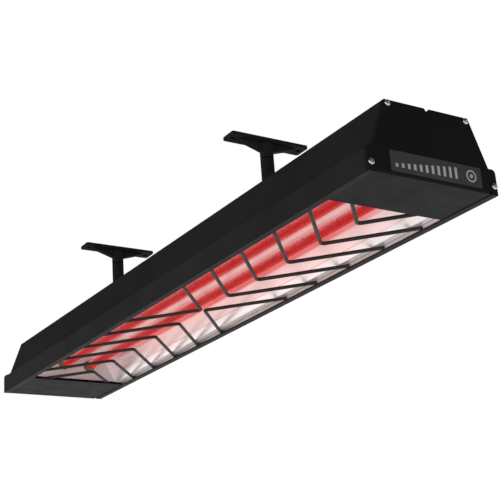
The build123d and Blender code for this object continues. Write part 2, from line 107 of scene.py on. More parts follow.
scene.view_settings.view_transform = "Standard"
world = bpy.data.worlds.new("studio")
world.use_nodes = True
scene.world = world
backdrop = world.node_tree
backdrop.nodes.clear()
facing = add_node(
    backdrop,
    "ShaderNodeSeparateXYZ",
    {"Vector": add_node(backdrop, "ShaderNodeTexCoord").outputs["Generated"]},
)
fill_by_height = between(
    backdrop, facing.outputs["Z"], fill_from_below, fill_from_above, start=-0.05, end=0.4
)
fill_by_end = between(
    backdrop, facing.outputs["X"], fill_from_far_end, fill_from_near_end, start=-0.3, end=0.8
)
fill_level = add_node(
    backdrop, "ShaderNodeMath", {0: fill_by_height, 1: fill_by_end}, operation="MULTIPLY"
)
white = (1, 1, 1, 1)
seen = add_node(backdrop, "ShaderNodeBackground", {"Color": white, "Strength": 1.0})
fill = add_node(
    backdrop, "ShaderNodeBackground", {"Color": white, "Strength": fill_level.outputs[0]}
)
to_camera = add_node(backdrop, "ShaderNodeLightPath").outputs["Is Camera Ray"]
either = add_node(
    backdrop, "ShaderNodeMixShader", {0: to_camera, 1: fill.outputs[0], 2: seen.outputs[0]}
)
add_node(backdrop, "ShaderNodeOutputWorld", {"Surface": either.outputs[0]})

floor_mesh = bpy.data.meshes.new("floor")
floor_sketch = bmesh.new()
bmesh.ops.create_circle(floor_sketch, cap_ends=True, radius=floor_reach, segments=96)
floor_sketch.to_mesh(floor_mesh)
floor_sketch.free()
floor = bpy.data.objects.new("floor", floor_mesh)
floor.location.z = floor_level
scene.collection.objects.link(floor)
pale, _, _ = new_material(
    "pale_floor",
    Base_Color=(0.82, 0.82, 0.82, 1),
    Roughness=0.9,
    Emission_Color=white,
    Emission_Strength=0.5,
)
floor_mesh.materials.append(pale)

for light_name, (place, aim, size, power) in soft_lights.items():
    light = bpy.data.lights.new(light_name, "AREA")
    light.shape = "SQUARE"
    light.size = size
    light.energy = power
    lamp = bpy.data.objects.new(light_name, light)
    lamp.location = place
    lamp.rotation_mode = "QUATERNION"
    lamp.rotation_quaternion = (Vector(aim) - Vector(place)).to_track_quat("-Z", "Y")
    lamp.visible_camera = False
    scene.collection.objects.link(lamp)

camera_data = bpy.data.cameras.new("camera")
camera_data.sensor_width = camera_sensor
camera_data.lens = camera_lens
camera = bpy.data.objects.new("camera", camera_data)
camera.location = camera_place
camera.rotation_mode = "QUATERNION"
level_sight = (camera_aim - camera_place).to_track_quat("-Z", "Y")
camera.rotation_quaternion = level_sight @ Quaternion((0, 0, 1), camera_roll)
scene.collection.objects.link(camera)
scene.camera = camera


# ------------------------------------------------------------------ housing
# One aluminium extrusion, about a metre long, powder coated satin black. It carries the
# T-slot for the mounts along its top and an inward lip along each side of its foot.
powder_black = (0.022, 0.022, 0.0222)
powder_grain = 1300.0
cloud_scale = 11.0
smear_scale = 45.0
peel_depth = 0.00003
gloss_spread = 0.05
housing_edge = 0.0009
weld_distance = 2e-6
flat_enough = 0.6  # degrees up to which faces of the CAD mesh are merged
edge_steps = 3
sharp_corner = 28  # degrees between two faces from which their edge is rounded
smooth_corner = 35  # degrees up to which two faces are shaded as one


def object_coords(tree):
    return add_node(tree, "ShaderNodeTexCoord").outputs["Object"]


def noise(tree, scale, detail=2.0, stretch=None, roughness=0.5):
    """Noise on object coordinates, stretched along an axis where a stretch is given."""
    coords = object_coords(tree)
    if stretch:
        mapping = add_node(tree, "ShaderNodeMapping", {"Vector": coords, "Scale": stretch})
        coords = mapping.outputs[0]
    return add_node(
        tree,
        "ShaderNodeTexNoise",
        {"Vector": coords, "Scale": scale, "Detail": detail, "Roughness": roughness},
    ).outputs["Fac"]


def colour_bands(tree, value, bands):
    """Colour by a value, from a list of (position, colour)."""
    ramp = add_node(tree, "ShaderNodeValToRGB", {"Fac": value})
    stops = ramp.color_ramp.elements
    for position, colour in bands[1:-1]:
        stops.new(position).color = (*colour, 1)
    for stop, (position, colour) in ((stops[0], bands[0]), (stops[-1], bands[-1])):
        stop.position = position
        stop.color = (*colour, 1)
    return ramp.outputs["Color"]


def tint_between(tree, value, dark, light):
    """Colour that drifts between two tones with a noise value."""
    return colour_bands(tree, value, [(0.3, dark), (0.7, light)])


def bump(tree, shader, height, depth, strength=1.0):
    """Relief of a given depth in metres."""
    relief = add_node(
        tree, "ShaderNodeBump", {"Height": height, "Distance": depth, "Strength": strength}
    )
    tree.links.new(relief.outputs["Normal"], shader.inputs["Normal"])


def powder_coat(name, colour, roughness=0.5, grain=powder_grain, depth=peel_depth, shine=0.05):
    """Satin powder coat: fine orange peel, faint clouding of its tone and gloss."""
    material, tree, shader = new_material(name, Specular_IOR_Level=shine)
    cloud = noise(tree, cloud_scale, detail=4.0)
    dark = [0.82 * channel for channel in colour]
    light = [1.18 * channel for channel in colour]
    tree.links.new(tint_between(tree, cloud, dark, light), shader.inputs["Base Color"])
    smear = noise(tree, smear_scale, detail=3.0)
    gloss = between(tree, smear, roughness - gloss_spread, roughness + gloss_spread)
    tree.links.new(gloss, shader.inputs["Roughness"])
    bump(tree, shader, noise(tree, grain), depth, strength=0.5)
    return material


def flat_faces_kept(mesh, smooth_under):
    """Smooth gentle edges with corner normals led by the larger faces, so flats stay flat."""
    mesh.shade_smooth()
    around = [[] for _ in mesh.vertices]
    for face in mesh.polygons:
        for corner in face.vertices:
            around[corner].append(face.index)
    limit = math.cos(math.radians(smooth_under))
    facing = [face.normal.copy() for face in mesh.polygons]
    weight = [face.area for face in mesh.polygons]
    normals = []
    for face in mesh.polygons:
        for corner in face.vertices:
            blend = Vector()
            for index in around[corner]:
                if facing[index].dot(facing[face.index]) > limit:
                    blend += facing[index] * weight[index]
            normals.append(blend.normalized() if blend.length > 0 else facing[face.index])
    mesh.normals_split_custom_set(normals)


def as_piece(
    name, mesh, body, slot_name, *stands_for, material=None, smooth_under=smooth_corner
):
    """Make an object of a mesh, smooth its gentle edges and hang it on its body."""
    if material:
        mesh.materials.clear()
        mesh.materials.append(material)
    flat_faces_kept(mesh, smooth_under)
    piece = bpy.data.objects.new(name, mesh)
    scene.collection.objects.link(piece)
    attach(piece, body)
    if stands_for:
        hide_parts(*stands_for)


def finished_mesh(name, rough):
    """Apply an object's modifiers to a plain mesh and remove the object."""
    bpy.context.view_layer.update()
    evaluated = rough.evaluated_get(bpy.context.evaluated_depsgraph_get())
    mesh = bpy.data.meshes.new_from_object(evaluated)
    mesh.name = name
    bpy.data.objects.remove(rough)
    return mesh


def rounded_copy(node, edge, segments=edge_steps, limit=sharp_corner):
    """A CAD node's shape as whole faces with its sharp edges rounded."""
    source = nodes[node].data
    mesh = bpy.data.meshes.new(node + "_rounded")
    corners = [corner.co for corner in source.vertices]
    mesh.from_pydata(corners, [], [list(face.vertices) for face in source.polygons])
    work = bmesh.new()
    work.from_mesh(mesh)
    bmesh.ops.remove_doubles(work, verts=work.verts, dist=weld_distance)
    bmesh.ops.dissolve_limit(
        work, angle_limit=math.radians(flat_enough), verts=work.verts, edges=work.edges
    )
    work.to_mesh(mesh)
    work.free()
    rough = bpy.data.objects.new("rough", mesh)
    scene.collection.objects.link(rough)
    bevel = rough.modifiers.new("edges", "BEVEL")
    bevel.width = edge
    bevel.segments = segments
    bevel.limit_method = "ANGLE"
    bevel.angle_limit = math.radians(limit)
    bevel.use_clamp_overlap = True
    return finished_mesh(node + "_rounded", rough)


def rounded_piece(name, node, edge, slot_name, material, body="heater", segments=edge_steps):
    """The piece that stands for a CAD node, with rounded edges."""
    mesh = rounded_copy(node, edge, segments)
    as_piece(name, mesh, body, slot_name, node, material=material)


black_coat = powder_coat("black_powder_coat", powder_black)
rounded_piece("housing_shell", "housing", housing_edge, "black_powder_coat", black_coat)


# ------------------------------------------------------------------ end caps and end panels
# Die-cast plates close the extrusion. Pressed steel panels, coated the same black, cover
# the lamp ends underneath and turn up over the foot of each cap.
cap_edge = 0.0007
panel_edge = 0.0005
cap_coat = powder_coat("cap_powder_coat", (0.0105, 0.0105, 0.011), roughness=0.5, shine=0.08)
panel_coat = powder_coat("panel_powder_coat", (0.018, 0.018, 0.0185), roughness=0.55, shine=0.05)
for end in ("near", "far"):
    rounded_piece(f"{end}_cap", f"{end}_end_cap", cap_edge, "black_powder_coat", cap_coat)
    rounded_piece(f"{end}_panel", f"{end}_end_panel", panel_edge, "black_powder_coat", panel_coat)


# ------------------------------------------------------------------ cap screws
# Stainless pan-head screws with a cross recess, four to a cap, turned into the round
# ports of the extrusion.
screw_head_radius = 0.0038
screw_head_height = 0.0023
screw_shank_radius = 0.0019
screw_length = 0.022
cross_width = 0.0009
cross_reach = 0.0021
cross_depth = 0.0012
overcut = 0.0005  # of a cutting tool past the surface it cuts
half_length = 0.51
cap_screw_spots = [(-0.055, 0.0838), (0.055, 0.0838), (-0.0855, 0.0104), (0.0855, 0.0104)]
screw_spin = 3.0  # spread of the angle at which each screw came to rest
mark_scale = 600.0
worn_scale = 60.0
mark_depth = 0.00001


def lathe(name, outline, segments=32):
    """Turn an outline of (radius, height) points about Z into a closed solid."""
    work = bmesh.new()
    rings = []
    turns = [2 * math.pi * step / segments for step in range(segments)]
    for radius, height in outline:
        ring = [(radius * math.cos(turn), radius * math.sin(turn), height) for turn in turns]
        rings.append([work.verts.new(place) for place in (ring if radius else ring[:1])])
    for lower, upper in zip(rings, rings[1:]):
        for step in range(segments):
            after = (step + 1) % segments
            corners = [lower[step % len(lower)], lower[after % len(lower)]]
            corners += [upper[after % len(upper)], upper[step % len(upper)]]
            work.faces.new(list(dict.fromkeys(corners)))
    bmesh.ops.recalc_face_normals(work, faces=work.faces)
    mesh = bpy.data.meshes.new(name)
    work.to_mesh(mesh)
    work.free()
    return mesh


def cut_away(name, solid, tools):
    """Subtract closed meshes from a closed mesh."""
    rough = bpy.data.objects.new(name, solid)
    scene.collection.objects.link(rough)
    cutters = []
    for tool in tools:
        cutter = bpy.data.objects.new("cutter", tool)
        scene.collection.objects.link(cutter)
        cutters.append(cutter)
        cut = rough.modifiers.new("cut", "BOOLEAN")
        cut.operation = "DIFFERENCE"
        cut.object = cutter
        cut.solver = "EXACT"
    mesh = finished_mesh(name, rough)
    for cutter in cutters:
        bpy.data.objects.remove(cutter)
    return mesh


def block(name, low, high):
    """A box between two corners."""
    work = bmesh.new()
    bmesh.ops.create_cube(work, size=1.0)
    size = Vector(high) - Vector(low)
    middle = (Vector(high) + Vector(low)) / 2
    bmesh.ops.transform(
        work, matrix=Matrix.Translation(middle) @ Matrix.Diagonal((*size, 1)), verts=work.verts
    )
    mesh = bpy.data.meshes.new(name)
    work.to_mesh(mesh)
    work.free()
    return mesh


def crossed_screw():
    """Pan head and shank with a cross recess, standing on Z with the head's underside at zero."""
    dome = [
        (0, -screw_length),
        (0.6 * screw_shank_radius, -screw_length),
        (screw_shank_radius, -screw_length + 0.001),
        (screw_shank_radius, 0),
        (0.92 * screw_head_radius, 0),
        (screw_head_radius, 0.15 * screw_head_height),
        (screw_head_radius, 0.42 * screw_head_height),
        (0.93 * screw_head_radius, 0.68 * screw_head_height),
        (0.78 * screw_head_radius, 0.86 * screw_head_height),
        (0.55 * screw_head_radius, 0.96 * screw_head_height),
        (0.3 * screw_head_radius, screw_head_height),
        (0, screw_head_height),
    ]
    top = screw_head_height + overcut
    bottom = screw_head_height - cross_depth
    arm = cross_width / 2
    recess = [
        block("recess", (-cross_reach, -arm, bottom), (cross_reach, arm, top)),
        block("recess", (-arm, -cross_reach, bottom), (arm, cross_reach, top)),
    ]
    return cut_away("crossed_screw", lathe("screw_blank", dome), recess)


def brushed_metal(name, colour, roughness, streak=(1, 1, 1)):
    """Bare or plated metal with fine tool marks and an uneven shine."""
    material, tree, shader = new_material(name, Metallic=1.0)
    cloud = noise(tree, worn_scale, detail=4.0)
    dark = [0.82 * channel for channel in colour]
    tree.links.new(tint_between(tree, cloud, dark, colour), shader.inputs["Base Color"])
    marks = noise(tree, mark_scale, detail=3.0, stretch=streak)
    tree.links.new(
        between(tree, marks, 0.7 * roughness, 1.3 * roughness), shader.inputs["Roughness"]
    )
    bump(tree, shader, marks, mark_depth, strength=0.4)
    return material


def new_tree(name, **inputs):
    """A geometry nodes tree with named inputs, its input sockets and their identifiers."""
    tree = bpy.data.node_groups.new(name, "GeometryNodeTree")
    sockets = {}
    for label, kind in inputs.items():
        label = label.replace("_", " ")
        socket = tree.interface.new_socket(
            name=label, in_out="INPUT", socket_type="NodeSocket" + kind
        )
        sockets[label] = socket.identifier
    tree.interface.new_socket(name="Made", in_out="OUTPUT", socket_type="NodeSocketGeometry")
    return tree, add_node(tree, "NodeGroupInput").outputs, sockets


def end_tree(tree, geometry, material):
    """Make a tree's instances real, give them their material and hand them out."""
    real = add_node(tree, "GeometryNodeRealizeInstances", {"Geometry": geometry})
    painted = add_node(
        tree, "GeometryNodeSetMaterial", {"Geometry": real.outputs[0], "Material": material}
    )
    add_node(tree, "NodeGroupOutput", {"Made": painted.outputs[0]})


def grown(name, start, tree_and_sockets, **values):
    """Run a geometry nodes tree on a mesh or curve and keep its result as a plain mesh."""
    tree, sockets = tree_and_sockets
    carrier = bpy.data.objects.new(name + "_carrier", start)
    scene.collection.objects.link(carrier)
    modifier = carrier.modifiers.new("grow", "NODES")
    modifier.node_group = tree
    for label, value in values.items():
        modifier[sockets[label.replace("_", " ")]] = value
    return finished_mesh(name, carrier)


def repeat_tree(name, material):
    """Geometry nodes that set one shape on every point of the mesh they run on."""
    tree, given, sockets = new_tree(
        name, Places="Geometry", Shape="Object", Turn="Vector", Spin_spread="Float"
    )
    source = add_node(tree, "GeometryNodeObjectInfo", {"Object": given["Shape"]})
    turned = add_node(tree, "FunctionNodeEulerToRotation", {"Euler": given["Turn"]})
    own_spin = add_node(
        tree,
        "FunctionNodeRandomValue",
        {2: 0.0, 3: given["Spin spread"], "Seed": 4},
        data_type="FLOAT",
    )
    about = add_node(
        tree, "FunctionNodeAxisAngleToRotation", {"Axis": (0, 0, 1), "Angle": own_spin.outputs[1]}
    )
    both = add_node(
        tree,
        "FunctionNodeRotateRotation",
        {"Rotation": turned.outputs[0], "Rotate By": about.outputs[0]},
        rotation_space="LOCAL",
    )
    placed = add_node(
        tree,
        "GeometryNodeInstanceOnPoints",
        {
            "Points": given["Places"],
            "Instance": source.outputs["Geometry"],
            "Rotation": both.outputs[0],
        },
    )
    end_tree(tree, placed.outputs[0], material)
    return tree, sockets


def repeated(name, tree_and_sockets, places, shape_mesh, turn=(0, 0, 0), spin=0.0):
    """Copies of a mesh at a list of places, as one plain mesh."""
    points = bpy.data.meshes.new(name + "_places")
    points.from_pydata(places, [], [])
    shape = bpy.data.objects.new(name + "_shape", shape_mesh)
    scene.collection.objects.link(shape)
    mesh = grown(name, points, tree_and_sockets, Shape=shape, Turn=turn, Spin_spread=spin)
    bpy.data.objects.remove(shape)
    return mesh


screw_steel = brushed_metal("stainless_screw", (0.78, 0.78, 0.79), 0.16)
screw_repeat = repeat_tree("screws_on_places", screw_steel)
screw_shape = crossed_screw()
for end, outward in (("near", 1), ("far", -1)):
    screws = repeated(
        f"{end}_screws",
        screw_repeat,
        [(outward * half_length, across, up) for across, up in cap_screw_spots],
        screw_shape,
        turn=(0, outward * math.pi / 2, 0),
        spin=screw_spin,
    )
    as_piece(f"{end}_screws", screws, "heater", "bright_screw", f"{end}_cap_screws")


# ------------------------------------------------------------------ name badge
# A thin satin plate stuck to the near cap. In place of a name it carries a plain rising
# scale and a ring, raised a little and printed pale.
badge_low, badge_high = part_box("name_badge")
badge_edge = 0.0003
print_thickness = 0.00015
scale_bars = 11
bar_width = 0.0034
bar_pitch = 0.0082
lowest_bar = 0.004
bar_rise = 0.00095
scale_margin = (0.008, 0.0052)
ring_radii = (0.0054, 0.0072)
dot_radius = 0.0024
ring_margin = 0.015
badge_coat = powder_coat(
    "badge_coat", (0.064, 0.064, 0.065), roughness=0.42, grain=2600.0, depth=0.00001, shine=0.1
)
pale_print = powder_coat(
    "pale_print", (0.5, 0.5, 0.51), roughness=0.6, grain=3200.0, depth=0.00001, shine=0.2
)
rounded_piece("badge_plate", "name_badge", badge_edge, "badge_grey", badge_coat)


def rising_bars_tree():
    """Geometry nodes that stand a row of bars on a line, each taller than the last."""
    tree, given, sockets = new_tree(
        "rising_bars",
        Base="Geometry",
        Start="Vector",
        Count="Int",
        Pitch="Float",
        Lowest="Float",
        Rise="Float",
        Width="Float",
        Thickness="Float",
    )
    step = add_node(tree, "ShaderNodeCombineXYZ", {"Y": given["Pitch"]})
    row = add_node(
        tree,
        "GeometryNodeMeshLine",
        {"Count": given["Count"], "Start Location": given["Start"], "Offset": step.outputs[0]},
    )
    bar = add_node(tree, "GeometryNodeMeshCube", {"Size": (1, 1, 1)})
    standing = add_node(
        tree, "GeometryNodeTransform", {"Geometry": bar.outputs[0], "Translation": (0.5, 0, 0.5)}
    )
    order = add_node(tree, "GeometryNodeInputIndex")
    height = add_node(
        tree,
        "ShaderNodeMath",
        {0: order.outputs[0], 1: given["Rise"], 2: given["Lowest"]},
        operation="MULTIPLY_ADD",
    )
    size = add_node(
        tree,
        "ShaderNodeCombineXYZ",
        {"X": given["Thickness"], "Y": given["Width"], "Z": height.outputs[0]},
    )
    placed = add_node(
        tree,
        "GeometryNodeInstanceOnPoints",
        {"Points": row.outputs[0], "Instance": standing.outputs[0], "Scale": size.outputs[0]},
    )
    end_tree(tree, placed.outputs[0], pale_print)
    return tree, sockets


def joined_mesh(name, meshes):
    """Several meshes as one, each keeping its own material."""
    work = bmesh.new()
    whole = bpy.data.meshes.new(name)
    for mesh in meshes:
        first_face = len(work.faces)
        work.from_mesh(mesh)
        work.faces.ensure_lookup_table()
        material = next(filled for filled in mesh.materials if filled)
        if material.name not in whole.materials:
            whole.materials.append(material)
        slot_index = whole.materials.find(material.name)
        for face in work.faces[first_face:]:
            face.material_index = slot_index
    work.to_mesh(whole)
    work.free()
    return whole


def printed_ring(inner, outer):
    """A flat ring or disc on the badge's face, standing out along X."""
    outline = [(inner, 0), (outer, 0), (outer, print_thickness), (inner, print_thickness)]
    if inner:
        outline.append((inner, 0))
    mesh = lathe("ring", outline, segments=48)
    middle = Vector((badge_high.x, badge_high.y - ring_margin, (badge_low.z + badge_high.z) / 2))
    mesh.transform(Matrix.Translation(middle) @ Matrix.Rotation(math.pi / 2, 4, "Y"))
    mesh.materials.append(pale_print)
    return mesh


bars = grown(
    "scale_bars",
    bpy.data.meshes.new("bars_base"),
    rising_bars_tree(),
    Start=(badge_high.x, badge_low.y + scale_margin[0], badge_low.z + scale_margin[1]),
    Count=scale_bars,
    Pitch=bar_pitch,
    Lowest=lowest_bar,
    Rise=bar_rise,
    Width=bar_width,
    Thickness=print_thickness,
)
badge_print = joined_mesh(
    "badge_print", [bars, printed_ring(*ring_radii), printed_ring(0, dot_radius)]
)
as_piece("badge_print", badge_print, "heater", "badge_grey")


# ------------------------------------------------------------------ heat shield
# A bent sheet of zinc-plated steel over the reflector, with three bridge brackets that
# carry the reflector and two holder plates for the lamps.
shield_edge = 0.0002
plated = brushed_metal("zinc_plate", (0.62, 0.62, 0.6), 0.35, streak=(0.1, 1, 1))
for node in ("heat_shield", "reflector_brackets", "near_lamp_holder", "far_lamp_holder"):
    rounded_piece(node + "_sheet", node, shield_edge, "plated_steel", plated, segments=2)


# ------------------------------------------------------------------ reflector
# One folded sheet of bright-rolled aluminium over the lamps, closed at each end by a plate.
# Rolling leaves faint streaks along it. Beside the lamps its colour holds painted red lamp glow,
# painted reflections and highlights and painted shade towards its edges, and the sheet gives off
# that colour as a painted glow.
sheet_low, sheet_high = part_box("reflector")
lamp_middle = (sheet_low.x + sheet_high.x) / 2
sheet_thickness = 0.0008
fold_line = [
    (0.0818, 0.0071),
    (0.0715, 0.0071),
    (0.0655, 0.0175),
    (0.0550, 0.0365),
    (0.0420, 0.0500),
    (0.0260, 0.0570),
    (0.0100, 0.0565),
    (0.0, 0.0500),
]
fold_radius = 0.0009
fold_steps = 5
end_plate_edge = 0.0002
sheet_roughness = 0.3
streak_scale = 260.0
ripple_scale = 14.0
ripple_depth = 0.0004
painted_glow_strength = 0.3  # painted glow: the sheet emits its own colour, standing in for the lamps' light that it scatters back
glow_fade_span = (0.24, 0.43)  # from the middle of the lamps, where the painted lamp glow fades
# the colour that the painted lamp glow fades to away from the lamps' middle, and how far it fades
glow_faded_tone = (0.86, 0.82, 0.82, 1)
glow_faded_share = 0.7
painted_glow_bands = [  # distance from the middle line, colour: painted lamp glow, painted reflections and highlights, painted shade at the edge
    (0.0, (1.0, 0.50, 0.47)),
    (0.030, (1.0, 0.46, 0.43)),
    (0.034, (1.0, 0.64, 0.61)),
    (0.0378, (0.90, 0.36, 0.35)),
    (0.0535, (1.0, 0.20, 0.19)),
    (0.0550, (1.0, 0.36, 0.34)),
    (0.0556, (1.0, 0.64, 0.61)),
    (0.0648, (1.0, 0.72, 0.69)),
    (0.0654, (0.86, 0.42, 0.41)),
    (0.0660, (1.0, 0.84, 0.82)),
    (0.0710, (1.0, 0.90, 0.88)),
    (0.0725, (0.62, 0.54, 0.53)),
]


def rolled_aluminium(name, roughness):
    """Bright-rolled sheet whose colour over the lamps' middle stretch holds painted lamp glow,
    reflections, highlights and edge shade, and which glows with that colour.
    """
    material, tree, shader = new_material(name, Metallic=1.0, Emission_Strength=painted_glow_strength)
    streaks = noise(tree, streak_scale, detail=3.0, stretch=(0.02, 1, 1))
    bare = tint_between(tree, streaks, (0.86, 0.86, 0.87), (0.96, 0.96, 0.965))
    place = add_node(tree, "ShaderNodeSeparateXYZ", {"Vector": object_coords(tree)})
    across = add_node(tree, "ShaderNodeMath", {0: place.outputs["Y"]}, operation="ABSOLUTE")
    reach = painted_glow_bands[-1][0]
    share = add_node(tree, "ShaderNodeMath", {0: across.outputs[0], 1: reach}, operation="DIVIDE")
    # painted lamp glow, painted reflections and highlights and painted edge shade, by distance
    # from the middle line
    glow_paint_bands = colour_bands(
        tree, share.outputs[0], [(distance / reach, colour) for distance, colour in painted_glow_bands]
    )
    along = add_node(
        tree, "ShaderNodeMath", {0: place.outputs["X"], 1: lamp_middle}, operation="SUBTRACT"
    )
    off_middle = add_node(tree, "ShaderNodeMath", {0: along.outputs[0]}, operation="ABSOLUTE")
    fade = between(tree, off_middle.outputs[0], 0, glow_faded_share, *glow_fade_span)
    local_glow_paint = add_node(
        tree, "ShaderNodeMix", {"Factor": fade, "A": glow_paint_bands, "B": glow_faded_tone}, data_type="RGBA"
    )
    glow_painted_sheet = add_node(
        tree,
        "ShaderNodeMix",
        {"Factor": 1.0, "A": bare, "B": result_of(local_glow_paint)},
        data_type="RGBA",
        blend_type="MULTIPLY",
    )
    # the painted colour is also set as the sheet's own glow
    tree.links.new(result_of(glow_painted_sheet), shader.inputs["Emission Color"])
    tree.links.new(result_of(glow_painted_sheet), shader.inputs["Base Color"])
    gloss = between(tree, streaks, 0.8 * roughness, 1.25 * roughness)
    tree.links.new(gloss, shader.inputs["Roughness"])
    ripple = noise(tree, ripple_scale, detail=1.0, stretch=(0.4, 1, 1))
    bump(tree, shader, ripple, ripple_depth, strength=0.25)
    return material


def folded_sheet(name, line, thickness, radius, ends):
    """A sheet folded along X: a line of (Y, Z) points with rounded folds, given thickness."""
    points = [Vector(point) for point in line]
    middle_line = [points[0]]
    for before, corner, after in zip(points, points[1:], points[2:]):
        back = (before - corner).normalized()
        onward = (after - corner).normalized()
        half_turn = back.angle(onward) / 2
        cut = radius / math.tan(half_turn)
        for step in range(fold_steps + 1):
            share = step / fold_steps
            leaving = corner + back * cut * (1 - share)
            arriving = corner + onward * cut * share
            middle_line.append(leaving.lerp(arriving, share))
    middle_line.append(points[-1])
    work = bmesh.new()
    rings = []
    for index, point in enumerate(middle_line):
        behind = middle_line[max(index - 1, 0)]
        ahead = middle_line[min(index + 1, len(middle_line) - 1)]
        run = (ahead - behind).normalized()
        off = Vector((-run.y, run.x)) * thickness / 2
        rings.append(
            [
                work.verts.new((end, *(point + side * off)))
                for end, side in ((ends[0], -1), (ends[0], 1), (ends[1], 1), (ends[1], -1))
            ]
        )
    for ring, following in zip(rings, rings[1:]):
        for step in range(4):
            after = (step + 1) % 4
            work.faces.new([ring[step], ring[after], following[after], following[step]])
    work.faces.new(rings[0])
    work.faces.new(reversed(rings[-1]))
    bmesh.ops.recalc_face_normals(work, faces=work.faces)
    mesh = bpy.data.meshes.new(name)
    work.to_mesh(mesh)
    work.free()
    return mesh


sheet_mesh = folded_sheet(
    "reflector_sheet",
    fold_line + [(-across, up) for across, up in reversed(fold_line[:-1])],
    sheet_thickness,
    fold_radius,
    (sheet_low.x, sheet_high.x),
)
as_piece(
    "reflector_sheet",
    sheet_mesh,
    "heater",
    "polished_aluminium",
    "reflector",
    material=rolled_aluminium("bright_rolled_aluminium", sheet_roughness),
    smooth_under=25,
)
dull_plate = powder_coat(
    "heat_dulled_plate", (0.72, 0.74, 0.74), roughness=0.6, grain=700.0, depth=0.00002, shine=0.5
)
for end in ("near", "far"):
    rounded_piece(
        f"{end}_reflector_plate",
        f"{end}_reflector_end",
        end_plate_edge,
        "polished_aluminium",
        dull_plate,
    )


# ------------------------------------------------------------------ lamps
# Two ruby quartz tubes, each with a coiled tungsten filament from end to end, glowing red.
# Ceramic ends with flat tangs carry them, held by spring clips. Their dark red-brown is painted
# shade and painted red lamp light on the ceramic.
lamp_glow_and_highlight_bands = [  # share of the tube's width towards its highlight side, colour; the palest colours there are a painted highlight
    (0.0, (0.58, 0.034, 0.034)),
    (0.22, (0.50, 0.020, 0.019)),
    (0.37, (0.43, 0.010, 0.010)),
    (0.52, (0.44, 0.013, 0.013)),
    (0.67, (0.46, 0.030, 0.030)),
    (0.82, (0.50, 0.072, 0.072)),
    (1.0, (0.58, 0.15, 0.15)),
]
lamp_light = 1.0
highlight_side = Vector((0.0, -0.543, 0.84))
coil_turns = 200
coil_wire = 0.0003
mottle_scale = 420.0
# colour of the ceramic ends: dark red-brown with painted shade and painted red lamp light in it
ceramic_shade_and_glow_red = (0.30, 0.13, 0.11)
tube_edge = 0.0003
ceramic_edge = 0.001
clip_edge = 0.0003


def glowing_ruby(name, low, high):
    """Red glow with a painted highlight as a paler band along the tube's upper side, and a fine
    mottle.
    """
    material, tree, shader = new_material(
        name,
        Base_Color=(0.08, 0.001, 0.001, 1),
        Roughness=0.2,
        Specular_IOR_Level=0.12,
        Emission_Strength=lamp_light,
    )
    middle = (low + high) / 2
    radius = (high.z - low.z) / 2
    from_middle = add_node(
        tree,
        "ShaderNodeVectorMath",
        {0: object_coords(tree), 1: (0, middle.y, middle.z)},
        operation="SUBTRACT",
    )
    upward = add_node(
        tree,
        "ShaderNodeVectorMath",
        {0: from_middle.outputs[0], 1: highlight_side},
        operation="DOT_PRODUCT",
    )
    # painted highlight: the glow turns paler towards the tube's upper side
    around = between(tree, upward.outputs["Value"], 0, 1, -radius, radius)
    mottle = noise(tree, mottle_scale, detail=4.0, stretch=(0.6, 1, 1), roughness=0.6)
    speckled = add_node(
        tree,
        "ShaderNodeMix",
        {
            "Factor": 1.0,
            "A": colour_bands(tree, around, lamp_glow_and_highlight_bands),
            "B": tint_between(tree, mottle, (0.72, 0.45, 0.45), (1.22, 1.9, 1.9)),
        },
        data_type="RGBA",
        blend_type="MULTIPLY",
    )
    tree.links.new(result_of(speckled), shader.inputs["Emission Color"])
    return material


def coil_tree(material):
    """Geometry nodes that wind a wire into a long coil along X."""
    tree, given, sockets = new_tree(
        "coil",
        Base="Geometry",
        Start="Vector",
        Length="Float",
        Turns="Float",
        Coil_radius="Float",
        Wire_radius="Float",
    )
    spiral = add_node(
        tree,
        "GeometryNodeCurveSpiral",
        {
            "Resolution": 10,
            "Rotations": given["Turns"],
            "Start Radius": given["Coil radius"],
            "End Radius": given["Coil radius"],
            "Height": given["Length"],
        },
    )
    section = add_node(
        tree, "GeometryNodeCurvePrimitiveCircle", {"Resolution": 5, "Radius": given["Wire radius"]}
    )
    wound = add_node(
        tree,
        "GeometryNodeCurveToMesh",
        {"Curve": spiral.outputs[0], "Profile Curve": section.outputs[0], "Fill Caps": True},
    )
    laid = add_node(
        tree,
        "GeometryNodeTransform",
        {
            "Geometry": wound.outputs[0],
            "Translation": given["Start"],
            "Rotation": (0, math.pi / 2, 0),
        },
    )
    end_tree(tree, laid.outputs[0], material)
    return tree, sockets


tungsten = brushed_metal("tungsten", (0.3, 0.3, 0.32), 0.4)
# the ceramic ends' material, its colour holding painted shade and painted red lamp light
ceramic_with_painted_shade = powder_coat(
    "ceramic_with_painted_shade", ceramic_shade_and_glow_red, roughness=0.6, grain=2200.0, depth=0.00005, shine=0.4
)
coils = coil_tree(tungsten)
for side in ("front", "rear"):
    ruby = glowing_ruby(f"{side}_ruby_quartz", *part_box(f"{side}_lamp_tube"))
    rounded_piece(
        f"{side}_quartz_tube", f"{side}_lamp_tube", tube_edge, "ruby_quartz", ruby, segments=2
    )
    rod_low, rod_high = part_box(f"{side}_filament")
    rod_middle = (rod_low + rod_high) / 2
    coil = grown(
        f"{side}_coil",
        bpy.data.meshes.new("coil_base"),
        coils,
        Start=(rod_low.x + 2 * coil_wire, rod_middle.y, rod_middle.z),
        Length=rod_high.x - rod_low.x - 4 * coil_wire,
        Turns=float(coil_turns),
        Coil_radius=(rod_high.z - rod_low.z) / 2 - 2 * coil_wire,
        Wire_radius=coil_wire,
    )
    as_piece(f"{side}_coil", coil, "heater", "tungsten", f"{side}_filament", smooth_under=60)
    rounded_piece(
        f"{side}_ceramic_ends", f"{side}_lamp_ends", ceramic_edge, "ceramic", ceramic_with_painted_shade
    )
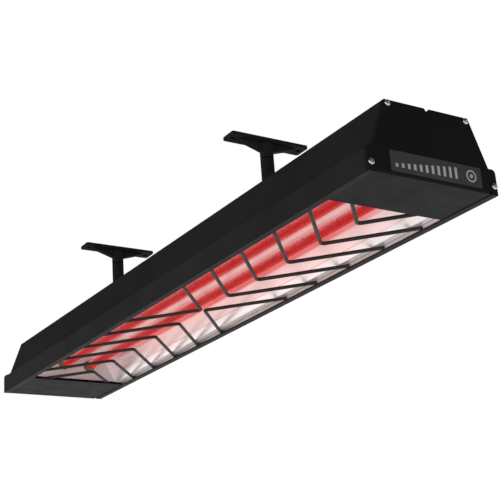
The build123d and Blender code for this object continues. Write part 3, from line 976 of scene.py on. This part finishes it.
rounded_piece("spring_clips", "lamp_clips", clip_edge, "plated_steel", plated)


# ------------------------------------------------------------------ wiring
# Four leads in woven glass sleeve run from the lamps to a ceramic terminal block over the
# shield's far end. Brass screws clamp them, and a brass stud earths the housing.
brass = brushed_metal("brass", (0.72, 0.52, 0.22), 0.28)
cream = powder_coat(
    "cream_steatite", (0.62, 0.57, 0.5), roughness=0.6, grain=2200.0, depth=0.00004, shine=0.4
)
slot_width = 0.0008
slot_depth = 0.0007
slot_overcut = 0.001
block_edge = 0.0005
lead_edge = 0.0002
stud_edge = 0.0003
weave_scale = 480.0
weave_depth = 0.0001


def woven_sleeve():
    """Cream glass braid: two sets of fine crossing threads."""
    material, tree, shader = new_material("glass_sleeve", Roughness=0.85)
    weave = add_node(
        tree,
        "ShaderNodeTexWave",
        {"Vector": object_coords(tree), "Scale": weave_scale, "Distortion": 1.5, "Detail": 2.0},
        bands_direction="DIAGONAL",
    )
    tree.links.new(
        tint_between(tree, weave.outputs["Fac"], (0.42, 0.4, 0.35), (0.66, 0.64, 0.58)),
        shader.inputs["Base Color"],
    )
    bump(tree, shader, weave.outputs["Fac"], weave_depth)
    return material


rounded_piece("terminal_body", "terminal_block", block_edge, "ceramic", cream)
as_piece(
    "sleeved_leads",
    rounded_copy("internal_leads", lead_edge, segments=1, limit=60),
    "heater",
    "lead_sleeve",
    "internal_leads",
    material=woven_sleeve(),
    smooth_under=40,
)
screw_low, screw_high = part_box("terminal_screws")
terminal_radius = 0.0021
terminal_height = screw_high.z - screw_low.z
row_x = (screw_low.x + terminal_radius, screw_high.x - terminal_radius)
row_gap = (screw_high.y - screw_low.y - 2 * terminal_radius) / 3
terminal_places = [
    (along, screw_low.y + terminal_radius + step * row_gap, screw_low.z)
    for along in row_x
    for step in range(4)
]
cheese_head = [
    (0, 0),
    (terminal_radius, 0),
    (terminal_radius, 0.75 * terminal_height),
    (0.85 * terminal_radius, terminal_height),
    (0, terminal_height),
]
slot_tool = block(
    "slot",
    (-terminal_radius - slot_overcut, -slot_width / 2, terminal_height - slot_depth),
    (terminal_radius + slot_overcut, slot_width / 2, terminal_height + slot_overcut),
)
slotted = cut_away("slotted_screw", lathe("cheese_head", cheese_head, segments=24), [slot_tool])
slotted_screws = repeated(
    "slotted_screws",
    repeat_tree("terminal_screws", brass),
    terminal_places,
    slotted,
    spin=screw_spin,
)
as_piece("slotted_screws", slotted_screws, "heater", "brass_terminal", "terminal_screws")
rounded_piece("earthing_stud", "earth_stud", stud_edge, "brass_terminal", brass)


# ------------------------------------------------------------------ cable gland
# A black nylon gland in the top of the housing: hexagon body and cap outside, locknut
# inside, and a rubber seal round the cable's way in.
moulding_edge = 0.0005
seal_edge = 0.0003
nylon = powder_coat("black_nylon", (0.018, 0.018, 0.019), roughness=0.5, grain=1800.0)
rubber = powder_coat("seal_rubber", (0.012, 0.012, 0.012), roughness=0.8, grain=900.0)
for part in ("body", "locknut", "cap"):
    rounded_piece(
        f"gland_{part}_moulding", f"gland_{part}", moulding_edge, "black_nylon", nylon
    )
rounded_piece("gland_rubber", "gland_seal", seal_edge, "seal_rubber", rubber)


# ------------------------------------------------------------------ guard
# Round wires in black heat-proof paint: chevrons that point to the middle from both ends,
# and two V wires back to back there, tacked to a bright flat rail along each side.
guard_low, guard_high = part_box("wire_guard")
guard_middle = (guard_low.x + guard_high.x) / 2
guard_wire = guard_high.z - guard_low.z
guard_level = (guard_low.z + guard_high.z) / 2
rail_size = 0.004
tack_gap = 0.0001
wire_reach = guard_high.y - rail_size - tack_gap
guard_bend = 0.005
guard_pitch = 0.0725
first_chevron = 0.0688
chevrons_each_side = 5
arm_slope = 1.12
middle_gap = 0.0026
guard_paint = powder_coat("guard_paint", (0.026, 0.024, 0.023), roughness=0.5, shine=0.2)
rail_steel = brushed_metal("bright_rail", (0.78, 0.74, 0.74), 0.4, streak=(0.05, 1, 1))


def bent_wire_tree():
    """Geometry nodes that round a bent wire's corner, give it its thickness and repeat it
    along the heater from the middle, with the same again turned half round."""
    tree, given, sockets = new_tree(
        "bent_wires",
        Route="Geometry",
        Wire_diameter="Float",
        Bend_radius="Float",
        Middle="Float",
        First_from_middle="Float",
        Pitch="Float",
        Count="Int",
    )
    rounded = add_node(
        tree,
        "GeometryNodeFilletCurve",
        {"Curve": given["Route"], "Radius": given["Bend radius"], "Count": 8},
        mode="POLY",
    )
    half = add_node(
        tree, "ShaderNodeMath", {0: given["Wire diameter"], 1: 0.5}, operation="MULTIPLY"
    )
    section = add_node(
        tree, "GeometryNodeCurvePrimitiveCircle", {"Resolution": 16, "Radius": half.outputs[0]}
    )
    wire = add_node(
        tree,
        "GeometryNodeCurveToMesh",
        {"Curve": rounded.outputs[0], "Profile Curve": section.outputs[0], "Fill Caps": True},
    )
    start = add_node(tree, "ShaderNodeCombineXYZ", {"X": given["First from middle"]})
    step = add_node(tree, "ShaderNodeCombineXYZ", {"X": given["Pitch"]})
    row = add_node(
        tree,
        "GeometryNodeMeshLine",
        {"Count": given["Count"], "Start Location": start.outputs[0], "Offset": step.outputs[0]},
    )
    ahead = add_node(
        tree,
        "GeometryNodeInstanceOnPoints",
        {"Points": row.outputs[0], "Instance": wire.outputs[0]},
    )
    behind = add_node(
        tree, "GeometryNodeTransform", {"Geometry": ahead.outputs[0], "Rotation": (0, 0, math.pi)}
    )
    joined = add_node(tree, "GeometryNodeJoinGeometry")
    tree.links.new(ahead.outputs[0], joined.inputs[0])
    tree.links.new(behind.outputs[0], joined.inputs[0])
    along = add_node(tree, "ShaderNodeCombineXYZ", {"X": given["Middle"]})
    moved = add_node(
        tree,
        "GeometryNodeTransform",
        {"Geometry": joined.outputs[0], "Translation": along.outputs[0]},
    )
    end_tree(tree, moved.outputs[0], guard_paint)
    return tree, sockets


def bent_wires(name, tree_and_sockets, route, first, count):
    """Wires along a three-point route, repeated by the tree, as one plain mesh."""
    curve = bpy.data.curves.new(name, "CURVE")
    curve.dimensions = "3D"
    line = curve.splines.new("POLY")
    line.points.add(len(route) - 1)
    for point, place in zip(line.points, route):
        point.co = (*place, 1)
    return grown(
        name,
        curve,
        tree_and_sockets,
        Wire_diameter=guard_wire,
        Bend_radius=guard_bend,
        Middle=guard_middle,
        First_from_middle=first,
        Pitch=guard_pitch,
        Count=count,
    )


wire_tree = bent_wire_tree()
chevron_run = arm_slope * wire_reach
middle_run = arm_slope * (wire_reach - middle_gap)
chevron_route = [
    (chevron_run, -wire_reach, guard_level),
    (0, 0, guard_level),
    (chevron_run, wire_reach, guard_level),
]
middle_route = [
    (-middle_run, -wire_reach, guard_level),
    (0, -middle_gap, guard_level),
    (middle_run, -wire_reach, guard_level),
]
guard_pieces = [
    bent_wires("chevrons", wire_tree, chevron_route, first_chevron, chevrons_each_side),
    bent_wires("middle_wires", wire_tree, middle_route, 0.0, 1),
]
for rail_start in (guard_low.y, guard_high.y - rail_size):
    rail = block(
        "rail",
        (guard_low.x, rail_start, guard_level - rail_size / 2),
        (guard_high.x, rail_start + rail_size, guard_level + rail_size / 2),
    )
    rail.materials.append(rail_steel)
    guard_pieces.append(rail)
as_piece("guard", joined_mesh("guard", guard_pieces), "heater", "guard_black", "wire_guard")


# ------------------------------------------------------------------ mounts
# Each mount is a bent foot clamped in the T-slot, a pole that tilts on the foot's bolt and
# a cast T-shaped ceiling bracket that turns on the pole. All are coated black.
mount_coat = powder_coat("mount_powder_coat", (0.02, 0.02, 0.0205), roughness=0.6, shine=0.04)
washer_nylon = powder_coat("washer_nylon", (0.003, 0.003, 0.003), roughness=0.7, shine=0.02)
fixing_edge = 0.00025
mount_edges = {  # the body it rides on, its edges' rounding
    "foot_bracket": ("carriage", 0.0006),
    "pole_knuckle": ("pole", 0.0005),
    "pole_tube": ("pole", 0.0004),
    "ceiling_bracket": ("ceiling_mount", 0.0009),
}
fixings = {  # the body it rides on, its slot, its material
    "channel_nut": ("carriage", "plated_steel", plated),
    "foot_screws": ("carriage", "bright_screw", screw_steel),
    "pivot_bolt": ("carriage", "bright_screw", screw_steel),
    "pivot_nut": ("carriage", "bright_screw", screw_steel),
    "pivot_washers": ("carriage", "bright_screw", screw_steel),
    "set_screw": ("pole", "black_powder_coat", mount_coat),
    "swivel_washer": ("pole", "black_nylon", washer_nylon),
}
for mount in ("near", "far"):
    for part, (body, edge) in mount_edges.items():
        rounded_piece(
            f"{mount}_{part}_casting",
            f"{mount}_{part}",
            edge,
            "black_powder_coat",
            mount_coat,
            body=f"{mount}_{body}",
        )
    for part, (body, slot_name, material) in fixings.items():
        rounded_piece(
            f"{mount}_{part}_turned",
            f"{mount}_{part}",
            fixing_edge,
            slot_name,
            material,
            body=f"{mount}_{body}",
            segments=2,
        )
